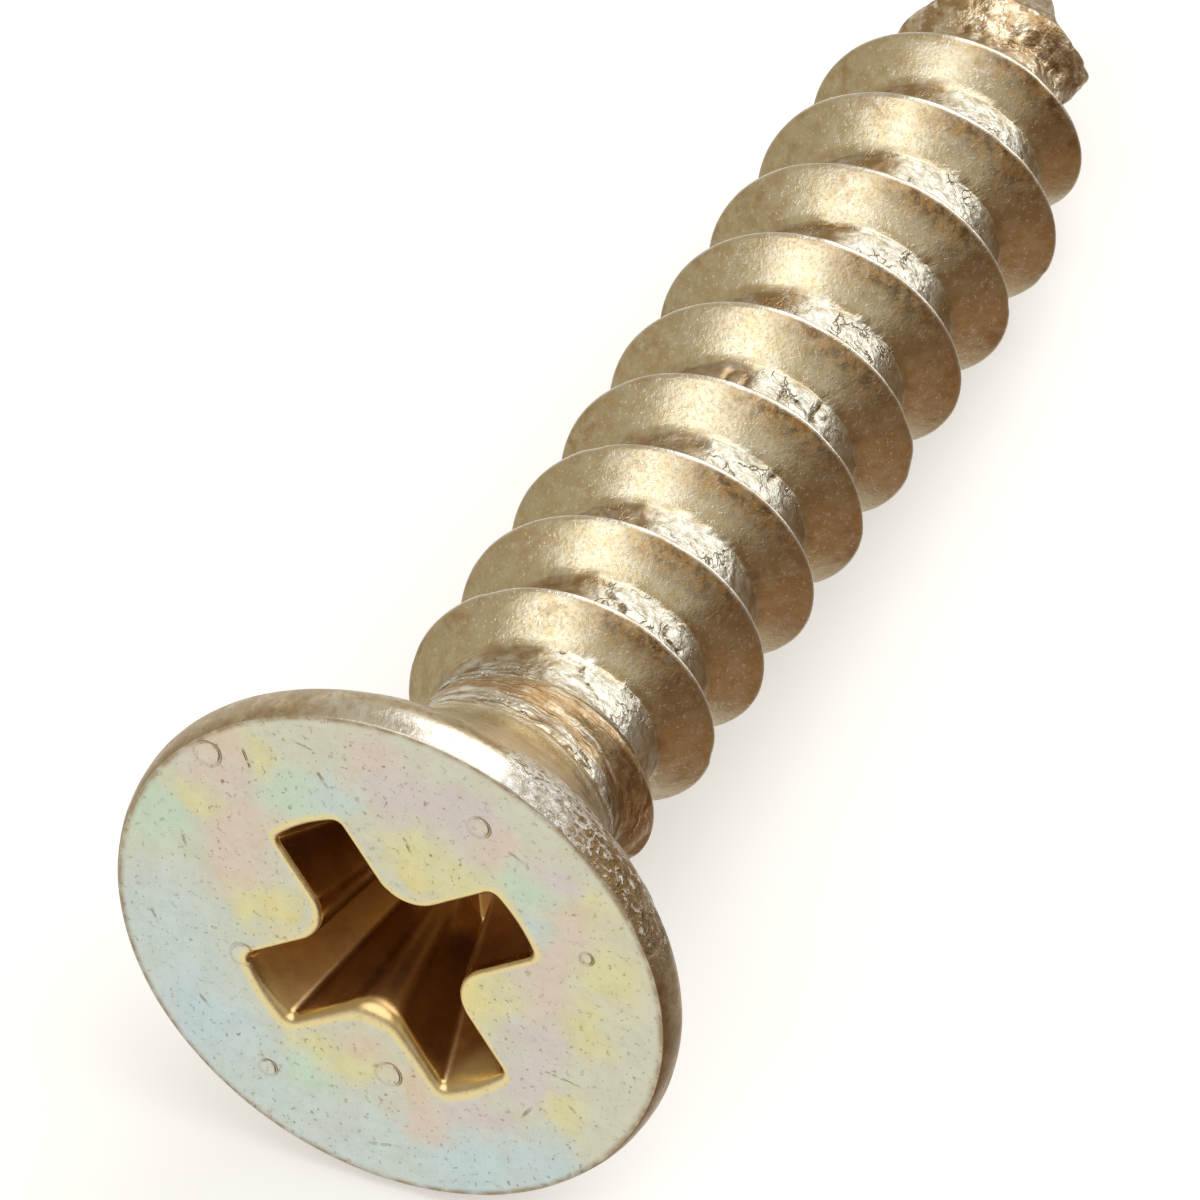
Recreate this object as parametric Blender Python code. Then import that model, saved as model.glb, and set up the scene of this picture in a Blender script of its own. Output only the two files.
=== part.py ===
"""Wood screw, 4.2 x 22.2 mm: flat countersunk head with a cross recess, full thread and gimlet point.

The screw is one piece of steel wire: the head is upset and the recess punched on one end, and the
thread and the point are rolled out of the same wire.  It lies along +Y: the flat outer face of the
head is at y = 0 and faces -Y, the point is at y = LENGTH, and +Z is up.
All values are in metres.
"""
import math

import bmesh
import bpy

MM = 0.001

# ---- driving dimensions --------------------------------------------------------------------
LENGTH = 22.2 * MM            # from the head's outer face to the point

THREAD_R = 2.10 * MM          # crest radius, thread diameter 4.2 mm
CORE_R = 1.46 * MM            # root radius
PITCH = 1.65 * MM             # single start, right hand
CREST_PHASE = 1.07 * MM       # y of a crest line on the +X side
COLUMNS = 48                  # facets round the screw
CREST_STEPS = 1               # half of the crest's flat, in COLUMNS-ths of a pitch
FOOT_HEAD_STEPS = 16          # from the crest to the foot on the head's side: a 40 degree flank
FOOT_TIP_STEPS = 12           # and on the point's side: a 30 degree flank

TAPER_START = 17.4 * MM       # the full thread ends here and the blunt point begins
GRID_START = 3.0 * MM         # the threaded part of the grid begins on the neck
FADE_START = 3.90 * MM        # the thread begins to rise out of the neck
FADE_END = 4.75 * MM          # and has its full height here

HEAD_R = 4.135 * MM           # largest radius of the head
FACE_R = 4.07 * MM            # radius of the flat outer face
RIM_DEPTH = 0.36 * MM         # depth of the head's largest radius below its outer face
CONE_TOP = 0.57 * MM          # depth at which the straight cone would have the head's radius
CONE_SLOPE = 1.0              # 45 degrees a side, a 90 degree countersink
NECK_ROUND = 0.6 * MM         # softness of the round between cone and core

RECESS_ANGLE = math.radians(34.0)     # of the first wing, from +X towards +Z
RECESS_R = 2.30 * MM          # wing ends at the outer face: 4.6 mm across, a number 2 cross recess
RECESS_R_DEEP = 1.15 * MM     # wing ends at the bottom edge
RECESS_DEPTH = 2.30 * MM      # depth of the bottom edge
RECESS_TIP = 2.70 * MM        # depth of the bottom cone's tip
WING_HALF = 0.575 * MM        # half width of a wing at the outer face
WING_HALF_DEEP = 0.345 * MM   # and at the bottom edge
CORNER_ROUND = 0.62 * MM      # round between two wings at the outer face
CORNER_ROUND_DEEP = 0.28 * MM


def clear_scene():
    for ob in list(bpy.data.objects):
        bpy.data.objects.remove(ob, do_unlink=True)


def smooth(t):
    t = min(max(t, 0.0), 1.0)
    return t * t * (3.0 - 2.0 * t)


def taper(y):
    """How far the point has drawn in at y: 1 on the shank, 0 at the tip."""
    t = min(max((y - TAPER_START) / (LENGTH - TAPER_START), 0.0), 1.0)
    return (1.0 - t ** 1.6) ** 0.65


def body_radius(y):
    """Cone, rounded neck and core, before the point draws them in."""
    d = HEAD_R - CONE_SLOPE * (y - CONE_TOP) - CORE_R
    return CORE_R + 0.5 * (d + math.sqrt(d * d + NECK_ROUND ** 2))


def base_radius(y):
    """Radius of the body without its thread."""
    return body_radius(y) * taper(y)


def thread_height(y):
    """Height of the crest above the body at y."""
    rise = smooth((y - FADE_START) / (FADE_END - FADE_START))
    return max(THREAD_R - body_radius(y), 0.0) * rise * taper(y)


def around(r, y, turn):
    """A point at radius r and depth y, turned right-handed about +Y by turn from +X."""
    return (r * math.cos(turn), y, -r * math.sin(turn))


def head_profile():
    """(y, r) from the rim of the flat face to just above the neck."""
    out = [(0.0, FACE_R - 0.05 * MM), (0.02 * MM, FACE_R - 0.012 * MM), (0.06 * MM, FACE_R + 0.008 * MM)]
    out.append((0.19 * MM, FACE_R + 0.045 * MM))
    out.append((RIM_DEPTH, HEAD_R))
    cone_start = CONE_TOP + 0.20 * MM
    for k in range(1, 4):
        a = k / 4.0
        y = RIM_DEPTH + (cone_start - RIM_DEPTH) * a
        end_r = HEAD_R - CONE_SLOPE * (cone_start - CONE_TOP)
        out.append((y, HEAD_R + (end_r - HEAD_R) * a ** 2.2))
    out.append((cone_start, base_radius(cone_start)))
    y = cone_start
    while y + 0.3 * MM < thread_low() - 0.1 * MM:
        y += 0.3 * MM
        out.append((y, base_radius(y)))
    return out


def thread_low():
    """Depth of the plane where the threaded grid starts: on a column of the grid."""
    k = round((GRID_START - CREST_PHASE) / PITCH * COLUMNS)
    return CREST_PHASE + PITCH * k / COLUMNS


def thread_high():
    k = round((LENGTH - 0.12 * MM - CREST_PHASE) / PITCH * COLUMNS)
    return CREST_PHASE + PITCH * k / COLUMNS


def build_body():
    """Head, neck, thread and point as one closed surface."""
    bm = bmesh.new()
    n = COLUMNS
    low, high = thread_low(), thread_high()
    low_k = round((low - CREST_PHASE) / PITCH * n)
    high_k = round((high - CREST_PHASE) / PITCH * n)
    # rows of the thread's section within one pitch, in n-ths of a pitch from the crest's middle
    rows = [-FOOT_HEAD_STEPS, -CREST_STEPS, CREST_STEPS, FOOT_TIP_STEPS, (FOOT_TIP_STEPS + n - FOOT_HEAD_STEPS) // 2]

    cache = {}

    def vert(i, k, height=None):
        """Vertex of column i (may be n or more) at depth step k."""
        key = (i % n, k)
        if key not in cache:
            y = CREST_PHASE + PITCH * k / n
            # the section of the thread at this place
            t = (k - i) % n
            t = t - n if t > n // 2 else t
            foot = FOOT_HEAD_STEPS if t < 0 else FOOT_TIP_STEPS
            f = min(max((foot - abs(t)) / (foot - CREST_STEPS), 0.0), 1.0)
            r = base_radius(y) + thread_height(y) * f
            cache[key] = bm.verts.new(around(r, y, 2.0 * math.pi * (i % n) / n))
        return cache[key]

    def face(*vs):
        out = []
        for v in vs:
            if v not in out:
                out.append(v)
        if len(out) >= 3:
            bm.faces.new(out)

    offsets = sorted(r % n for r in rows)
    for i in range(n):
        # depth steps of the section rows on this column's two edges, clipped by the end planes
        first = (low_k - i) // n - 1
        last = (high_k - i) // n + 2
        line = [(m * n + o) for m in range(first, last) for o in offsets]
        for a, b in zip(line, line[1:]):
            lo0, lo1 = a + i, a + i + 1          # this row on the left and right edges
            hi0, hi1 = b + i, b + i + 1
            q = [max(min(v, high_k), low_k) for v in (lo0, lo1, hi1, hi0)]
            if q[0] == q[3] and q[1] == q[2]:
                continue
            face(vert(i, q[0]), vert(i + 1, q[1]), vert(i + 1, q[2]), vert(i, q[3]))
    # rings of the head and the neck
    ring_low = [vert(i, low_k) for i in range(n)]
    rings = [[bm.verts.new(around(r, y, 2.0 * math.pi * i / n)) for i in range(n)] for y, r in head_profile()]
    rings.append(ring_low)
    for a, b in zip(rings, rings[1:]):
        for i in range(n):
            j = (i + 1) % n
            face(a[i], a[j], b[j], b[i])
    bm.faces.new(list(reversed(rings[0])))
    # point
    tip = bm.verts.new((0.0, LENGTH, 0.0))
    ring_high = [vert(i, high_k) for i in range(n)]
    for i in range(n):
        face(ring_high[i], ring_high[(i + 1) % n], tip)
    bmesh.ops.triangulate(bm, faces=[f for f in bm.faces if len(f.verts) <= 5])
    bmesh.ops.recalc_face_normals(bm, faces=bm.faces)
    mesh = bpy.data.meshes.new("wood_screw")
    bm.to_mesh(mesh)
    bm.free()
    return mesh


def recess_outline(end_r, half, corner):
    """The cross, counter-clockwise in its own plane, as (u, v)."""
    pts = []
    for k in range(4):
        turn = k * math.pi / 2.0
        side = math.asin(half / end_r)
        quarter = [(end_r * math.cos(a), end_r * math.sin(a)) for a in (-side, -side * 0.4, side * 0.4, side)]
        c = half + corner
        for j in range(6):
            a = math.radians(-90.0 - 90.0 * j / 5.0)
            quarter.append((c + corner * math.cos(a), c + corner * math.sin(a)))
        ct, st = math.cos(turn), math.sin(turn)
        pts += [(u * ct - v * st, u * st + v * ct) for u, v in quarter]
    return pts


def build_recess():
    """The tapered cross that the punch leaves, a little proud of the outer face."""
    bm = bmesh.new()

    def ring(depth):
        t = depth / RECESS_DEPTH
        end_r = RECESS_R + (RECESS_R_DEEP - RECESS_R) * t
        half = WING_HALF + (WING_HALF_DEEP - WING_HALF) * t
        corner = CORNER_ROUND + (CORNER_ROUND_DEEP - CORNER_ROUND) * t
        ca, sa = math.cos(RECESS_ANGLE), math.sin(RECESS_ANGLE)
        return [
            bm.verts.new((u * ca - v * sa, depth, u * sa + v * ca))
            for u, v in recess_outline(end_r, half, corner)
        ]

    rings = [ring(d) for d in (-0.30 * MM, RECESS_DEPTH)]
    count = len(rings[0])
    for a, b in zip(rings, rings[1:]):
        for i in range(count):
            j = (i + 1) % count
            bm.faces.new((a[i], a[j], b[j], b[i]))
    bm.faces.new(rings[0])
    tip = bm.verts.new((0.0, RECESS_TIP, 0.0))
    for i in range(count):
        bm.faces.new((rings[-1][i], rings[-1][(i + 1) % count], tip))
    bmesh.ops.recalc_face_normals(bm, faces=bm.faces)
    mesh = bpy.data.meshes.new("recess_punch")
    bm.to_mesh(mesh)
    bm.free()
    return mesh


def steel():
    mat = bpy.data.materials.new("yellow_zinc_steel")
    mat.use_nodes = True
    bsdf = mat.node_tree.nodes["Principled BSDF"]
    bsdf.inputs["Base Color"].default_value = (0.62, 0.52, 0.33, 1.0)
    bsdf.inputs["Metallic"].default_value = 1.0
    bsdf.inputs["Roughness"].default_value = 0.32
    return mat


def main():
    clear_scene()
    mesh = build_body()
    mesh.materials.append(steel())
    screw = bpy.data.objects.new("wood_screw", mesh)
    bpy.context.scene.collection.objects.link(screw)
    punch = bpy.data.objects.new("recess_punch", build_recess())
    bpy.context.scene.collection.objects.link(punch)
    punch.hide_render = True
    punch.display_type = "WIRE"
    cut = screw.modifiers.new("recess", "BOOLEAN")
    cut.operation = "DIFFERENCE"
    cut.solver = "EXACT"
    cut.object = punch
    mesh.shade_smooth()
    mesh.set_sharp_from_angle(angle=math.radians(35.0))


main()
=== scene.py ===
import math

import bpy
import numpy as np
from mathutils import Matrix


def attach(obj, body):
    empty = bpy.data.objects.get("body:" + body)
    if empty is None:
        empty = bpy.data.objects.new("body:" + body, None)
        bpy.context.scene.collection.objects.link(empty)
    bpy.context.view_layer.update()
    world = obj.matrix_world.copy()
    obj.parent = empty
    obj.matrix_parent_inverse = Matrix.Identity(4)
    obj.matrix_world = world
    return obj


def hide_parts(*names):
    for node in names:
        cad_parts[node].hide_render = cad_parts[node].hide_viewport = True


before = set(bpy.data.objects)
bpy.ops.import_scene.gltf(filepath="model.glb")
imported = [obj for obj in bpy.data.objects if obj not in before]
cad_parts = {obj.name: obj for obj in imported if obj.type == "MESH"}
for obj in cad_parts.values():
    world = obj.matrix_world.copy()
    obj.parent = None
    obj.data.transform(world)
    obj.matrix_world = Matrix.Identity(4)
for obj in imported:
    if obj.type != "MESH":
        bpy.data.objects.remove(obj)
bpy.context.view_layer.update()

# All shape values below are in millimetres and are turned into metres when a mesh is made.
MM = 0.001

# ---------------------------------------------------------------- dimensions, as in the CAD part
LENGTH = 22.2
THREAD_R = 2.10
CORE_R = 1.46
PITCH = 1.65
PHASE = 1.07                  # depth of a crest line on the +X side
HEAD_R = 4.135
CONE_TOP = 0.57
NECK_ROUND = 0.6
TAPER_START = 17.4
FADE_START, FADE_END = 3.90, 4.75
FOOT_HEAD = 0.55              # crest to foot along the axis, on the head's side
FOOT_TIP = 0.41               # and on the point's side

RECESS_ANGLE = math.radians(34.0)
REC_R, REC_R_DEEP = 2.28, 1.15
REC_DEPTH, REC_TIP = 2.30, 2.70
WING, WING_DEEP = 0.565, 0.345
INNER, INNER_DEEP = 0.62, 0.28     # round between two wings
OUTER, OUTER_DEEP = 0.13, 0.07     # round at a wing's end
EDGE = 0.075                       # rolled-over edge of the recess

N = 192                       # columns round the thread
M = 384                       # columns round the head
FACE_STEPS = 64               # rings across the flat face


def smooth(t):
    t = np.clip(t, 0.0, 1.0)
    return t * t * (3.0 - 2.0 * t)


# ---------------------------------------------------------------- noise on points, for real relief
def hash3(i, j, k, seed):
    """Repeatable random value in 0..1 for whole-number lattice points."""
    i = i.astype(np.int64)
    j = j.astype(np.int64)
    k = k.astype(np.int64)
    h = (i * 73856093) ^ (j * 19349663) ^ (k * 83492791) ^ (seed * 2654435761)
    h = (h ^ (h >> 13)) * 1274126177
    h = (h ^ (h >> 16)) & 0xFFFFFF
    return h / float(0xFFFFFF)


def value_noise(p, scale, seed=0):
    """Smooth noise in -1..1 at points p (n, 3) in mm, with features of about scale mm."""
    q = p / scale
    f = np.floor(q)
    t = q - f
    t = t * t * t * (t * (t * 6 - 15) + 10)
    out = np.zeros(len(p))
    for a in (0, 1):
        for b in (0, 1):
            for c in (0, 1):
                w = (t[:, 0] if a else 1 - t[:, 0]) * (t[:, 1] if b else 1 - t[:, 1]) * (t[:, 2] if c else 1 - t[:, 2])
                out += w * hash3(f[:, 0] + a, f[:, 1] + b, f[:, 2] + c, seed)
    return out * 2.0 - 1.0


def fractal(p, scale, octaves, seed=0, gain=0.5):
    out = np.zeros(len(p))
    amp, total = 1.0, 0.0
    for o in range(octaves):
        out += amp * value_noise(p + 17.3 * o, scale / 2 ** o, seed + o)
        total += amp
        amp *= gain
    return out / total


def ridges(p, scale, seed=0):
    """0..1, high along thin wandering lines."""
    return (1.0 - np.abs(value_noise(p, scale, seed))) ** 6


# ---------------------------------------------------------------- the turned and rolled shape
def taper(y):
    t = np.clip((y - TAPER_START) / (LENGTH - TAPER_START), 0.0, 1.0)
    return (1.0 - t ** 1.6) ** 0.65


def body_radius(y):
    d = HEAD_R - (y - CONE_TOP) - CORE_R
    return CORE_R + 0.5 * (d + np.sqrt(d * d + NECK_ROUND ** 2))


def section(t):
    """Height of the rolled thread's section, 0..1, at t mm along the axis from the crest's middle."""
    flat = 0.026
    foot = np.where(t < 0, FOOT_HEAD, FOOT_TIP)
    f = (foot - np.abs(t)) / (foot - flat)
    low = 0.5 * (f + np.sqrt(f * f + 0.0020))   # the foot's small round
    low = np.where(f < -0.3, 0.0, low)
    top = 1.0 - 0.018 * (np.minimum(np.abs(t), flat) / flat) ** 2
    return np.clip(np.minimum(low, top), 0.0, 1.0)


TIP_ROWS = [0, 3, 7, 20, 34, 45, 49, 55, 63, 71, 79, 87, 96]
HEAD_ROWS = [3, 7, 20, 36, 52, 62, 67, 74, 81, 88]
ROWS = sorted(set(r % N for r in TIP_ROWS) | set((-r) % N for r in HEAD_ROWS))


class Surface:
    """Points and faces, gathered before one mesh is made of them."""

    def __init__(self):
        self.co = []
        self.faces = []

    def add(self, pts):
        start = len(self.co)
        self.co.extend(map(tuple, pts))
        return list(range(start, start + len(pts)))

    def face(self, *vs):
        out = []
        for v in vs:
            if v not in out:
                out.append(v)
        if len(out) >= 3:
            self.faces.append(out)

    def strip(self, a, b):
        n = len(a)
        for i in range(n):
            j = (i + 1) % n
            self.face(a[i], a[j], b[j], b[i])

    def strip_half(self, fine, coarse):
        """Joins a ring of 2n points to a ring of n points."""
        n = len(coarse)
        for i in range(n):
            j = (i + 1) % n
            f0, f1, f2 = fine[2 * i], fine[2 * i + 1], fine[(2 * i + 2) % (2 * n)]
            self.face(f0, f1, coarse[i])
            self.face(f1, coarse[j], coarse[i])
            self.face(f1, f2, coarse[j])


def thread_grid():
    """The threaded shank and point: a grid that follows the helix, cut off by a plane at each end."""
    low_k = round((3.0 - PHASE) / PITCH * N)
    high_k = round((LENGTH - 0.05 - PHASE) / PITCH * N)
    index, pts = {}, []

    def vert(i, k):
        key = (i % N, k)
        if key not in index:
            index[key] = len(pts)
            pts.append(key)
        return index[key]

    faces = []
    for i in range(N):
        first = (low_k - i) // N - 1
        last = (high_k - i) // N + 2
        line = [m * N + o for m in range(first, last) for o in ROWS]
        for a, b in zip(line, line[1:]):
            q = [max(min(v, high_k), low_k) for v in (a + i, a + i + 1, b + i + 1, b + i)]
            if q[0] == q[3] and q[1] == q[2]:
                continue
            faces.append((vert(i, q[0]), vert(i + 1, q[1]), vert(i + 1, q[2]), vert(i, q[3])))
    keys = np.array(pts, float)
    turn = 2.0 * np.pi * keys[:, 0] / N
    y = PHASE + PITCH * keys[:, 1] / N
    t = np.mod(keys[:, 1] - keys[:, 0] + N / 2, N) - N / 2
    return index, faces, turn, y, t * PITCH / N, low_k, high_k


def neck_step(y, turn, p):
    """Where the rolling dies begin: a fine groove, then a rough band round the neck."""
    yy = y + 0.03 * np.cos(turn - 0.9) + 0.012 * value_noise(p, 0.5, 61)
    band = smooth((yy - 3.565) / 0.03) * (1.0 - smooth((yy - 3.80) / 0.05))
    groove = np.exp(-((yy - 3.545) / 0.028) ** 2)
    out = 0.020 * smooth((y - 3.0) / 0.4) * (1.0 - smooth((yy - 3.50) / 0.05)) - 0.030 * groove
    out = out + band * (0.022 + 0.016 * fractal(p, 0.16, 2, 62) - 0.02 * ridges(p, 0.3, 63))
    out = out - 0.018 * np.exp(-((yy - 3.86) / 0.035) ** 2)
    return out, band, groove


def shank_points(turn, y, t):
    """Thread grid points with the small faults of rolling."""
    d = np.stack([np.cos(turn), np.zeros_like(turn), -np.sin(turn)], 1)
    centre = np.stack([np.zeros_like(y), y, np.zeros_like(y)], 1)
    on_core = centre + d * CORE_R
    # the crest wanders a little along the axis
    wander = 0.010 * value_noise(on_core, 0.9, 5) + 0.006 * value_noise(on_core, 0.3, 6)
    s = section(t + wander)
    rise = smooth((y - FADE_START) / (FADE_END - FADE_START))
    height = np.maximum(THREAD_R - body_radius(y), 0.0) * rise * taper(y)
    height = height * (1.0 + 0.018 * value_noise(on_core, 1.1, 7))
    # the last turn dies out in the blunt end
    height = height * (1.0 - 0.55 * smooth((y - 21.0) / 0.8))
    r = body_radius(y) * taper(y) * (1.0 - 0.30 * smooth((y - 21.3) / 0.6)) + height * s
    # nicks in the crest
    nick = np.clip(value_noise(on_core, 0.34, 8) - 0.45, 0.0, 1.0)
    r = r - 0.05 * nick * (s > 0.93) * rise * taper(y)
    # rough root: the strip between the flanks is flaky, with ragged edges
    edge_w = 0.035 * value_noise(on_core, 0.22, 9) + 0.02 * value_noise(on_core, 0.10, 10)
    root = smooth((t + edge_w - FOOT_TIP + 0.04) / 0.05) + smooth((-t + edge_w - FOOT_HEAD + 0.02) / 0.05)
    root = np.clip(root, 0.0, 1.0) * smooth((y - 3.95) / 0.15)
    amp = np.minimum(1.0, taper(y) * 1.6)
    flake = fractal(on_core, 0.26, 3, 11)
    crack = ridges(on_core, 0.42, 13) * smooth((value_noise(on_core, 0.8, 14) + 0.05) / 0.5)
    r = r + root * amp * (0.022 * flake + 0.012 - 0.040 * crack)
    # the flanks are a little wavy
    flank = (1.0 - root) * rise * taper(y)
    r = r + flank * 0.004 * value_noise(on_core, 0.5, 16)
    step, band, groove = neck_step(y, turn, on_core)
    r = r + step * (1.0 - smooth((y - 3.9) / 0.15))
    # lumpy point: the last turns are torn and rounded
    lump = smooth((y - 19.3) / 0.9) * np.minimum(1.0, taper(y) * 1.4) ** 0.7
    big = fractal(on_core * np.array([1.0, 1.15, 1.0]), 0.75, 3, 21, 0.42)
    pit = np.clip(value_noise(on_core, 0.40, 25) - 0.15, 0.0, 1.0)
    r = r + lump * (0.11 * big + 0.025 * value_noise(on_core, 0.2, 24) - 0.10 * pit - 0.02)
    r = np.maximum(r, 0.02)
    out = centre + d * r[:, None]
    # the point leans a little to one side
    lean = smooth((y - 16.0) / 4.5) * 0.09
    out[:, 0] -= lean * 0.75
    out[:, 2] += lean * 0.35
    root = np.maximum(root, band * 0.9)
    crack = np.maximum(root * crack, groove * 0.8)
    low = smooth((y - 3.80) / 0.1) * (1.0 - smooth((y - 4.5) / 0.3))
    return out, dict(t=t, root=root, lump=lump, s=s * rise, crack=crack, low=low)


def outline(end_r, half, inner, outer):
    """The cross in its own plane, M points, starting at a wing's middle."""
    cu = math.sqrt((end_r - outer) ** 2 - (half - outer) ** 2)
    cv = half - outer
    beta = math.atan2(cv, cu)
    q = []
    for a in np.linspace(0.0, beta, 12, endpoint=False):
        q.append((end_r * math.cos(a), end_r * math.sin(a)))
    for a in np.linspace(beta, math.pi / 2, 7, endpoint=False):
        q.append((cu + outer * math.cos(a), cv + outer * math.sin(a)))
    for u in np.linspace(cu, half + inner, 17, endpoint=False):
        q.append((u, half))
    c = half + inner
    for a in np.linspace(-math.pi / 2, -math.pi * 3 / 4, 12, endpoint=False):
        q.append((c + inner * math.cos(a), c + inner * math.sin(a)))
    # 48 points so far: half a quadrant, mirrored in the 45 degree line for the other half
    mid = (c - inner * math.sqrt(0.5), c - inner * math.sqrt(0.5))
    quad = q + [mid] + [(v, u) for u, v in reversed(q[1:])]
    pts = []
    for k in range(4):
        ct, st = math.cos(k * math.pi / 2), math.sin(k * math.pi / 2)
        pts += [(u * ct - v * st, u * st + v * ct) for u, v in quad]
    p = np.array(pts)
    ca, sa = math.cos(RECESS_ANGLE), math.sin(RECESS_ANGLE)
    # in the head's plane x = u and z = v; the screw's turning sense runs from +X to -Z, so flip
    x = p[:, 0] * ca - p[:, 1] * sa
    z = p[:, 0] * sa + p[:, 1] * ca
    return x[::-1], z[::-1]


def recess_level(depth, out=0.0):
    t = depth / REC_DEPTH
    return outline(
        REC_R + (REC_R_DEEP - REC_R) * t + out,
        WING + (WING_DEEP - WING) * t + out,
        INNER + (INNER_DEEP - INNER) * t - out,
        OUTER + (OUTER_DEEP - OUTER) * t + out,
    )


REC_TOP = np.stack(recess_level(0.0), 1)
REC_LOW = np.stack(recess_level(REC_DEPTH), 1)
REC_OUT = (np.stack(recess_level(0.0, 0.1), 1) - REC_TOP) / 0.1
REC_TURN = np.degrees(np.arctan2(REC_TOP[:, 1], REC_TOP[:, 0]))
# the punch went in slightly askew, so the lip is rolled over further on the lower side
LIP = EDGE + 0.19 * np.exp(-((np.mod(REC_TURN - 258.0 + 180.0, 360.0) - 180.0) / 30.0) ** 2)


def recess_ring(depth, out):
    """Points of the recess at given depths and outward offsets, one of each per column."""
    xz = REC_TOP + (REC_LOW - REC_TOP) * (depth / REC_DEPTH)[:, None] + REC_OUT * out[:, None]
    return np.stack([xz[:, 0], depth, xz[:, 1]], 1)


# Small round press marks on the face: x, z, radius
MARKS = [(-2.69, 2.66, 0.200), (1.33, 2.79, 0.165), (-2.20, -0.77, 0.175), (-1.83, -2.68, 0.130), (-0.03, -2.14, 0.185), (2.92, 1.02, 0.095)]
# Tool scratches: x0, z0, x1, z1, depth
SCRATCHES = [
    (-2.18, 2.98, -2.02, 2.52, 0.009),
    (-1.45, 3.36, -1.02, 3.24, 0.006),
    (-1.08, 2.98, -0.86, 2.62, 0.008),
    (2.23, -1.22, 2.90, -1.33, 0.008),
    (2.62, -1.68, 2.88, -1.95, 0.005),
    (0.20, 2.26, 0.35, 1.90, 0.008),
    (-3.57, -0.37, -3.42, -0.72, 0.006),
    (-2.89, -1.66, -2.63, -1.96, 0.006),
    (-0.41, -3.50, 0.19, -3.38, 0.005),
    (1.72, 2.54, 2.09, 2.36, 0.006),
    (1.93, -2.23, 2.14, -1.88, 0.007),
    (-3.10, 1.15, -2.99, 0.83, 0.007),
]


def face_relief(p):
    """How far the flat face lies below its plane (mm, never above it), at points p."""
    x, z = p[:, 0], p[:, 2]
    d = 0.004 + 0.0035 * value_noise(p, 1.6, 31) + 0.002 * value_noise(p, 0.45, 32)
    warp = 0.012 * value_noise(p, 0.12, 36)
    for k, (cx, cz, cr) in enumerate(MARKS):
        a = np.arctan2(z - cz, x - cx)
        rr = np.hypot((x - cx) * 1.03, z - cz) + warp
        side = 0.35 + 0.65 * smooth((np.cos(a - 0.5 - 0.25 * k) + 0.55) / 1.1)
        d = d + 0.014 * np.exp(-((rr - cr) / 0.032) ** 2) * side
        d = d - 0.003 * np.exp(-(rr / (0.75 * cr)) ** 2)
    for x0, z0, x1, z1, deep in SCRATCHES:
        lx, lz = x1 - x0, z1 - z0
        ll = math.hypot(lx, lz)
        u = ((x - x0) * lx + (z - z0) * lz) / ll
        v = ((x - x0) * -lz + (z - z0) * lx) / ll + warp * 0.8
        ends = smooth(u / 0.08) * smooth((ll - u) / 0.12)
        d = d + deep * np.exp(-(v / 0.028) ** 2) * ends
    pits = np.clip(value_noise(p, 0.17, 33) - 0.62, 0.0, 1.0)
    d = d + 0.02 * pits
    return np.maximum(d, 0.0)


def rim_relief(p, turn):
    """Roughness of the head's side band and the top of the cone, inwards, mm."""
    # one side of the band is torn, the rest is only a little wavy
    side = smooth((np.cos(turn + math.radians(41.0)) - 0.885 + 0.035 * value_noise(p, 0.5, 48)) / 0.07)
    base = 0.004 * value_noise(p, 0.7, 41) + 0.003 * value_noise(p, 0.25, 42)
    torn = 0.040 * fractal(p * np.array([1.0, 1.5, 1.0]), 0.42, 3, 43, 0.6) + 0.010 * ridges(p, 0.42, 45)
    return np.maximum(base + 0.006 + side * (torn + 0.012), 0.0), side


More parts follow.
